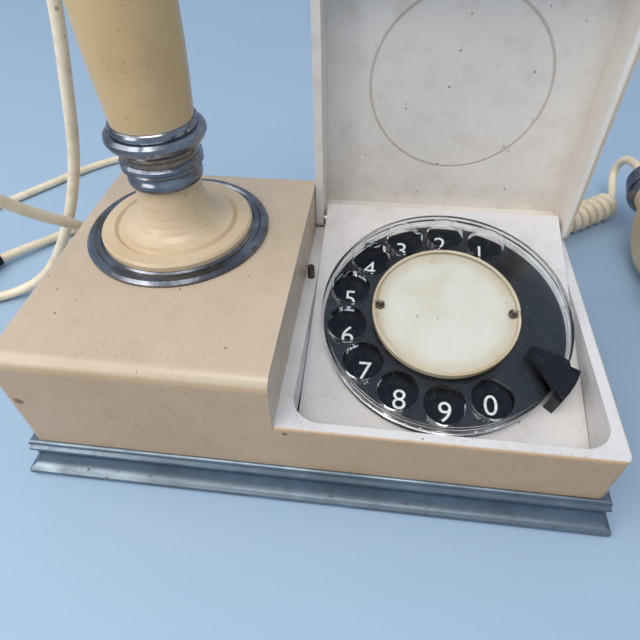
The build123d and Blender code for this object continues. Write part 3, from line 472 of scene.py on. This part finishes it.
def black_plastic():
    """Black moulding with a light haze of dust."""
    material, tree, shader, place = new_finish("black_moulding", 0.35, specular=0.22)
    grime = effect(tree, "grime", place, Scale=40.0)
    dust = effect(tree, "specks", place, Scale=800.0, Amount=0.28)
    haze = maths(tree, "MULTIPLY", grime["Smudge"], 0.3)
    colour = mix(tree, haze, (0.008, 0.010, 0.015), (0.022, 0.023, 0.026))
    colour = mix(tree, maths(tree, "MULTIPLY", dust["Mask"], 0.2), colour, (0.2, 0.18, 0.16))
    link(tree, colour, shader.inputs["Base Color"])
    link(tree, ramp(tree, grime["Smudge"], 0, 1, 0.2, 0.42), shader.inputs["Roughness"])
    bump(tree, shader, noise(tree, place, 300.0, 2.0).outputs["Fac"], 0.05, 0.00003)
    return material


def label_paper():
    """Cream card, browned at its edge and in faint stains."""
    material, tree, shader, place = new_finish("label_card_paper", 0.75, specular=0.25)
    centre = add(tree, "ShaderNodeVectorMath", operation="DISTANCE")
    low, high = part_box("label_card")
    link(tree, place, centre.inputs[0])
    centre.inputs[1].default_value = (low + high) / 2
    edge = ramp(tree, centre.outputs["Value"], 0.017, 0.0238)
    grime = effect(tree, "grime", place, Scale=60.0)
    colour = mix(tree, grime["Stain"], CARD, CARD_STAIN)
    colour = mix(tree, maths(tree, "MULTIPLY", edge, 0.55), colour, CARD_EDGE)
    dots = effect(tree, "specks", place, Scale=420.0, Amount=0.16)
    colour = mix(tree, maths(tree, "MULTIPLY", dots["Mask"], 0.5), colour, (0.3, 0.2, 0.1))
    link(tree, colour, shader.inputs["Base Color"])
    fibres = noise(tree, place, 1500.0, 3.0)
    bump(tree, shader, fibres.outputs["Fac"], 0.2, 0.00004)
    return material


def plain_metal(name, bright, dull):
    """Bare metal that has dulled in patches."""
    material, tree, shader, place = new_finish(name, 0.35, metallic=1.0)
    broad = noise(tree, place, 160.0, 5.0, 0.6)
    scratch = effect(tree, "scratches", place, Scale=150.0)
    colour = mix(tree, ramp(tree, broad.outputs["Fac"], 0.35, 0.7), bright, dull)
    link(tree, colour, shader.inputs["Base Color"])
    link(tree, ramp(tree, broad.outputs["Fac"], 0.3, 0.7, 0.25, 0.45), shader.inputs["Roughness"])
    bump(tree, shader, scratch["Mask"], 0.2, 0.00005)
    return material


def dull_finish(name, colour, worn, rough):
    """A plain finish with fine smudges."""
    material, tree, shader, place = new_finish(name, rough)
    grime = effect(tree, "grime", place, Scale=120.0)
    link(tree, mix(tree, grime["Smudge"], colour, worn), shader.inputs["Base Color"])
    gloss = ramp(tree, grime["Stain"], 0, 1, rough - 0.08, rough + 0.1)
    link(tree, gloss, shader.inputs["Roughness"])
    bump(tree, shader, grime["Smudge"], 0.2, 0.00008)
    return material


def cord_vinyl():
    """Cream cord sheath, yellowed and handled."""
    material, tree, shader, place = new_finish("cord_vinyl", 0.42, coat=0.05)
    grime = effect(tree, "grime", place, Scale=30.0)
    colour = mix(tree, grime["Stain"], VINYL, VINYL_AGED)
    colour = mix(tree, maths(tree, "MULTIPLY", grime["Smudge"], 0.35), colour, VINYL_DIRT)
    dots = effect(tree, "specks", place, Scale=380.0, Amount=0.22)
    colour = mix(tree, maths(tree, "MULTIPLY", dots["Mask"], 0.6), colour, (0.18, 0.09, 0.05))
    link(tree, colour, shader.inputs["Base Color"])
    link(tree, ramp(tree, grime["Smudge"], 0, 1, 0.36, 0.55), shader.inputs["Roughness"])
    bump(tree, shader, grime["Smudge"], 0.15, 0.00008)
    return material


def floor_finish():
    material, tree, shader, place = new_finish("table_top", 0.5)
    broad = noise(tree, place, 6.0, 3.0)
    link(tree, mix(tree, broad.outputs["Fac"], *TABLE), shader.inputs["Base Color"])
    return material


def dress_nodes():
    """Gives every node of the solid model its finish, and returns the finishes by slot."""
    # The housing's front face box paints shade: its colour is multiplied darker as well as
    # yellowed.
    housing = aged_plastic("housing_plastic", CREAM, YELLOWED, 0.36, inside=(TRAY_BOX, PALE),
                           yellowing_and_shade=(FRONT_SHADE_BOX, FRONT_YELLOWING_AND_SHADE), chips=FRONT_CHIPS)
    lid = aged_plastic("lid_plastic", CREAM, YELLOWED, 0.1, inside=(LID_BOX, LID_PALE))
    label_edge = aged_plastic("label_rim_plastic", LABEL_RIM, LABEL_RIM_AGED, 0.1)
    pin = worn_metal("rusty_pin_steel", (0.26, 0.24, 0.22), (0.09, 0.06, 0.045), (0.3, 0.6), 0.5)
    finishes = {
        "cream_shell": aged_plastic("column_plastic", COLUMN, COLUMN_AGED, 0.16,
                                    yellowing_and_shade=(SHAFT_BOX, COLUMN_TAN)),
        "tray_plastic": aged_plastic("tray_plastic", PALE, TRAY_STAIN, 0.22),
        "plinth_metal": worn_metal("plinth_nickel", (0.19, 0.235, 0.27), (0.13, 0.16, 0.185),
                                   (0.38, 0.66), 0.22, (0.15, 6.0, 6.0), (0.3, 0.46)),
        "dark_metal": worn_metal("darkened_nickel", (0.28, 0.30, 0.34), (0.09, 0.09, 0.105),
                                 (0.34, 0.66), 0.12, rough=(0.12, 0.30)),
        "clear_plastic": clear_plastic("clear_wheel_plastic", 1.42, 0.08),
        "black_plastic": black_plastic(),
        "label_paper": label_paper(),
        "steel": plain_metal("steel", (0.60, 0.61, 0.63), (0.42, 0.42, 0.43)),
        "brass": plain_metal("brass", (0.72, 0.54, 0.24), (0.52, 0.37, 0.16)),
        "rubber": dull_finish("rubber", (0.05, 0.045, 0.04), (0.10, 0.09, 0.08), 0.75),
        "copper_coil": dull_finish("copper_winding", (0.42, 0.16, 0.06), (0.30, 0.12, 0.05), 0.4),
        "board": dull_finish("phenolic_board", (0.30, 0.19, 0.08), (0.22, 0.13, 0.06), 0.5),
        "cord_sheath": cord_vinyl(),
    }
    own_finish = {"housing": housing, "lid": lid, "label_cup": label_edge, "lid_plunger": pin}
    for part in frame["record"]["subparts"]:
        node = nodes[part["node"]]
        finish = own_finish.get(part["node"], finishes[part["material_slot"]])
        for index in range(len(node.data.materials)):
            node.data.materials[index] = finish
    finishes["pin"] = pin
    return finishes


# ---- cords ----

# The line cord, from the back of the box over the cradle to the plug.
LINE_ROUTE = [
    (-78, 56.95, 22), (-78, 65, 22), (-79, 77, 13), (-82.5, 94, 2.5), (-90, 117, 2.1),
    (-101, 138, 2.1), (-118, 153, 2.1), (-137, 150, 2.1), (-156, 134, 2.1), (-171, 113, 2.1),
    (-187, 92, 2.1), (-205, 75, 2.1), (-221, 57, 2.1), (-228, 35, 2.1), (-223, 12, 2.1),
    (-206, -5, 2.1), (-186, -6, 2.1), (-168, 5, 2.1), (-154, 20, 2.1), (-138, 28, 3.2),
    (-124, 30, 12), (-111, 29, 28), (-99, 29, 48), (-89.5, 29, 70), (-82.5, 26.5, 92),
    (-77, 28, 118), (-74, 29, 146), (-72.5, 27, 174), (-71.5, 23.5, 196), (-71.5, 15.5, 210.5),
    (-73, -1, 211.5), (-80, -17, 200), (-93, -30, 180), (-107, -36, 156), (-114, -33, 130),
    (-112, -22, 104), (-103.5, -8, 80.5), (-95.5, 4, 63), (-91.2, 17, 50), (-91, 31, 34),
    (-93.5, 46, 18), (-98, 62, 6), (-104, 77, 2.4), (-114, 87, 2.1), (-127, 85, 2.1),
    (-137, 75, 2.1), (-145, 64, 2.9), (-152.5, 55, 4.1), (-159, 47, 4.1),
]
# The axis of the handset cord's curled part, then its plain ends at the box and at the handset.
COIL_ROUTE = [
    (-34, 102, 6.8), (-6, 101, 6.8), (24, 93, 6.8), (54, 86, 6.8), (84, 88, 6.8),
    (110, 101.5, 6.8), (131, 118, 6.8),
]
BASE_TAIL = [
    (-50, 56.95, 22), (-50, 65, 22), (-51.5, 77, 14.5), (-53, 90, 8), (-46, 100, 7.0),
    (-34, 102, 6.8),
]
HANDSET_TAIL = [
    (131, 118, 6.8), (133.6, 124.5, 7.6), (133.8, 132, 10.5), (134.6, 137, 16.5),
    (136.6, 134.5, 22.8), (138.6, 126.5, 24.6), (139.5, 115, 24.5),
]


def nurbs_curve(name, points, bevel_mm):
    data = bpy.data.curves.new(name, "CURVE")
    data.dimensions = "3D"
    data.resolution_u = 8
    spline = data.splines.new("NURBS")
    spline.points.add(len(points) - 1)
    for slot, point in zip(spline.points, points):
        slot.co = (*(Vector(point) * MM), 1.0)
    spline.order_u = 3
    spline.use_endpoint_u = True
    data.bevel_depth = bevel_mm * MM
    data.bevel_resolution = 5
    data.use_fill_caps = True
    curve = bpy.data.objects.new(name, data)
    bpy.context.scene.collection.objects.link(curve)
    return curve


def route_line(points):
    """The points of the route's own NURBS line, in metres."""
    curve = nurbs_curve("route", points, 0.0)
    mesh = bpy.data.meshes.new_from_object(curve)
    line = [v.co.copy() for v in mesh.vertices]
    bpy.data.objects.remove(curve)
    bpy.data.meshes.remove(mesh)
    return line


def line_length(points):
    return sum((b - a).length for a, b in zip(points, points[1:]))


def even_line(points, count):
    """count points at even spacing along a line of points."""
    total = line_length(points)
    out = [points[0].copy()]
    travelled = 0.0
    target = total / (count - 1)
    for a, b in zip(points, points[1:]):
        run = (b - a).length
        while run > 0 and travelled + run >= target and len(out) < count - 1:
            out.append(a.lerp(b, (target - travelled) / run))
            target += total / (count - 1)
        travelled += run
    out.append(points[-1].copy())
    return out


def curly_path():
    """The wire's whole line: plain end, helix along the coil's route, plain end."""
    centre = route_line(COIL_ROUTE)
    turns = round(line_length(centre) / (COIL_PITCH * MM))
    centre = even_line(centre, turns * COIL_STEPS + 1)
    radius = (COIL_D - CORD_D) / 2 * MM
    helix = []
    side = Vector((0, 0, 1))
    count = len(centre)
    for i, point in enumerate(centre):
        ahead = (centre[min(i + 1, count - 1)] - centre[max(i - 1, 0)]).normalized()
        side = (side - ahead * side.dot(ahead)).normalized()
        other = ahead.cross(side)
        angle = 2 * math.pi * i / COIL_STEPS
        ease = min(1.0, i / (0.6 * COIL_STEPS), (count - 1 - i) / (0.6 * COIL_STEPS))
        ease = ease * ease * (3 - 2 * ease)
        wobble = 1.0 + 0.02 * math.sin(i * 0.013)
        offset = side * math.cos(angle) + other * math.sin(angle)
        helix.append(point + offset * radius * ease * wobble - Vector((0, 0, radius * 0.02)))
    return route_line(BASE_TAIL)[:-1] + helix + route_line(HANDSET_TAIL)[1:]


def tube_mesh(name, points, diameter_mm):
    """A round tube through many points, as one mesh."""
    data = bpy.data.curves.new(name, "CURVE")
    data.dimensions = "3D"
    spline = data.splines.new("POLY")
    spline.points.add(len(points) - 1)
    for slot, point in zip(spline.points, points):
        slot.co = (*point, 1.0)
    data.bevel_depth = diameter_mm / 2 * MM
    data.bevel_resolution = 4
    data.use_fill_caps = True
    curve = bpy.data.objects.new(name, data)
    bpy.context.scene.collection.objects.link(curve)
    clear_selection()
    bpy.context.view_layer.objects.active = curve
    curve.select_set(True)
    bpy.ops.object.convert(target="MESH")
    piece = bpy.context.object
    bpy.ops.object.shade_smooth()
    return piece


def make_cords(vinyl):
    line = nurbs_curve("line_cord_flex", LINE_ROUTE, CORD_D / 2)
    line.data.materials.append(vinyl)
    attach(line, "base")
    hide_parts("line_cord")
    path = curly_path()
    curly = tube_mesh("handset_cord_curl", path, CORD_D)
    curly.data.materials.append(vinyl)
    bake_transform(curly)
    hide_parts("handset_cord")


# ---- springs ----

# Each spring: its node, the piece that stands for it, the joint that presses it, and the wire's
# thickness, the pitch and the joint's travel in millimetres.
SPRINGS = [
    ("hook_spring", "hook_rod_coil", "hook_slide", 1.0, 2.4, 5.0),
    ("plunger_spring", "lid_plunger_coil", "plunger_slide", 0.5, 1.7, 4.8),
]


def make_springs(finish):
    """The compression springs under the hook rod and the lid's plunger, made at their modelled
    length.
    """
    for coil, name, joint, wire, pitch, travel in SPRINGS:
        low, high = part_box(coil)
        centre = (low + high) / 2
        turn_r = (high.x - low.x) / 2 - wire * MM / 2
        height = high.z - low.z - wire * MM
        turns = height / (pitch * MM)
        count = int(turns * SPRING_STEPS)
        path = []
        for i in range(count + 1):
            angle = 2 * math.pi * turns * i / count
            path.append(Vector((centre.x + turn_r * math.cos(angle),
                                centre.y + turn_r * math.sin(angle),
                                low.z + wire * MM / 2 + height * i / count)))
        piece = settle(tube_mesh(name, path, wire), name, finish, "base")
        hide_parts(coil)
        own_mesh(piece)


# ---- dial label ----


def dial_axes():
    """The dial's own directions: across, up the slope, out of its face, and all three as a turn."""
    across = Vector((1, 0, 0))
    upward = Vector((0, math.cos(DECK_SLOPE), math.sin(DECK_SLOPE)))
    normal = across.cross(upward)
    return across, upward, normal, Matrix((across, upward, normal)).transposed().to_4x4()


def turned_disc(vertices, radius, height, rings, crease):
    """A disc with its top worked by rings, each an inset and a rise, all in millimetres. crease is
    the angle from which an edge stays sharp."""
    clear_selection()
    bpy.ops.mesh.primitive_circle_add(vertices=vertices, radius=radius * MM, fill_type="NGON")
    piece = bpy.context.object
    bpy.ops.object.mode_set(mode="EDIT")
    bpy.ops.mesh.select_all(action="SELECT")
    bpy.ops.mesh.extrude_region_move(TRANSFORM_OT_translate={"value": (0, 0, height * MM)})
    for inset, rise in rings:
        bpy.ops.mesh.inset(thickness=inset * MM)
        bpy.ops.transform.translate(value=(0, 0, rise * MM))
    bpy.ops.mesh.select_all(action="SELECT")
    bpy.ops.mesh.normals_make_consistent(inside=False)
    bpy.ops.object.mode_set(mode="OBJECT")
    bpy.ops.object.shade_smooth_by_angle(angle=math.radians(crease))
    return piece


def make_label_cover(finish):
    """The clear disc over the card: a turned lens with a rounded edge, just clear of the card."""
    low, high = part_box("label_card")
    _, _, normal, turn = dial_axes()
    piece = turned_disc(96, LENS_R, 0.85, ((0.35, 0.25), (0.8, 0.0)), 25)
    centre = (low + high) / 2 + normal * LENS_GAP * MM
    piece.matrix_world = Matrix.Translation(centre) @ turn
    settle(piece, "label_lens", finish, "dial")
    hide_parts("label_cover")


def make_label_clips(finish):
    """Two small turned pins that hold the lens at its left and right."""
    low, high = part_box("label_card")
    across, _, normal, turn = dial_axes()
    for sign, side in ((-1, "left"), (1, "right")):
        piece = turned_disc(32, CLIP_R, 1.0, ((0.25, 0.2), (0.5, -0.25)), 30)
        centre = (low + high) / 2 + across * sign * CLIP_OUT * MM + normal * CLIP_LIFT * MM
        piece.matrix_world = Matrix.Translation(centre) @ turn
        settle(piece, f"label_clip_{side}", finish, "dial")


# ---- digits ----


def make_digits():
    """White digits on the number plate, one under each hole, upright along the dial's slope."""
    white, tree, shader, place = new_finish("digit_paint", 0.5)
    grime = effect(tree, "grime", place, Scale=120.0)
    link(tree, mix(tree, grime["Smudge"], DIGIT_WHITE, DIGIT_WORN), shader.inputs["Base Color"])
    low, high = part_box("number_plate")
    centre = (low + high) / 2
    across, upward, normal, turn = dial_axes()
    face = centre + normal * PLATE_HALF_T * MM
    for i in range(10):
        angle = math.radians(FIRST_HOLE + HOLE_STEP * i + DIGIT_TURN)
        spot = face + (across * math.cos(angle) + upward * math.sin(angle)) * DIGIT_R * MM
        spot -= upward * DIGIT_DROP * MM
        clear_selection()
        bpy.ops.object.text_add()
        text = bpy.context.object
        text.data.body = str((i + 1) % 10)
        text.data.size = DIGIT_SIZE * MM
        text.data.align_x = "CENTER"
        text.data.align_y = "CENTER"
        text.data.extrude = 0.04 * MM
        text.data.offset = -0.05 * MM
        bpy.ops.object.convert(target="MESH")
        piece = bpy.context.object
        piece.matrix_world = Matrix.Translation(spot + normal * 0.04 * MM) @ turn
        settle(piece, f"digit_{(i + 1) % 10}", white, "base")


bpy.context.scene.view_settings.view_transform = "Standard"
make_camera()
finishes = dress_nodes()
make_cords(finishes["cord_sheath"])
make_studio()
make_label_cover(clear_plastic("label_cover_plastic", 1.1, 0.0))
make_label_clips(finishes["pin"])
make_springs(finishes["steel"])
make_digits()
